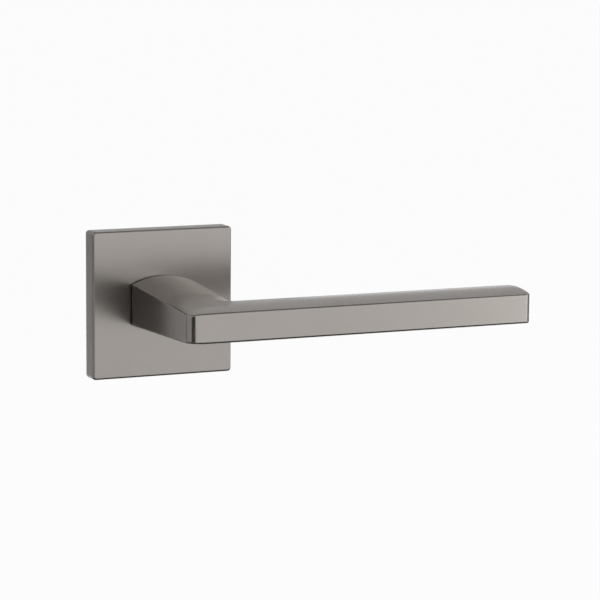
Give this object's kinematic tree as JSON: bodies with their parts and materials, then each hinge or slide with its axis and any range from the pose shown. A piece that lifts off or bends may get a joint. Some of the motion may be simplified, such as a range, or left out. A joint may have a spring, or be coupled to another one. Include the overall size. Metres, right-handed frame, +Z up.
{
  "type": "door lever handle",
  "caption": "Door lever handle: crowned rectangular grip that turns square out of a short neck, on a square sprung rose, with square spindle and threaded fixing posts.",
  "frame": {"origin": "where the spindle's axis crosses the face of the door", "axes": "+X along the grip towards its free end, +Y into the door along the spindle, +Z up"},
  "size_m": [0.1409, 0.1232, 0.052],
  "materials": {
    "satin_graphite": "satin graphite nickel plating over a zinc die casting",
    "black_steel": "black oxide",
    "zinc_plated_steel": "bright zinc plating",
    "spring_steel": "bare spring steel",
    "die_cast_zinc": "as cast, tumbled",
    "black_nylon": "moulded"
  },
  "bodies": {
    "rose": {"rose_cover": "satin_graphite", "neck_bush": "black_nylon", "cone_spring_washer": "spring_steel", "base_plate": "die_cast_zinc", "return_spring_top": "spring_steel", "return_spring_bottom": "spring_steel", "cassette_lid": "zinc_plated_steel", "lid_rivets": "zinc_plated_steel", "wood_screws": "zinc_plated_steel", "threaded_post_left": "zinc_plated_steel", "threaded_post_right": "zinc_plated_steel", "cover_clip_top_left": "spring_steel", "cover_clip_top_right": "spring_steel", "cover_clip_bottom_left": "spring_steel", "cover_clip_bottom_right": "spring_steel"},
    "turning_lever": {"lever": "satin_graphite", "grub_screw": "black_steel", "spindle": "zinc_plated_steel", "circlip": "spring_steel", "thrust_washer": "spring_steel", "spring_driver": "die_cast_zinc"}
  },
  "joints": [
    {"name": "lever_turn", "type": "hinge", "parent": "rose", "child": "turning_lever", "pos_m": [0, 0, 0], "axis": [0, 1, 0], "range_deg": [0, 45], "stiffness_Nm_per_rad": 0.9, "springref_deg": -28.65, "deforming": ["return_spring_top", "return_spring_bottom"]}
  ]
}
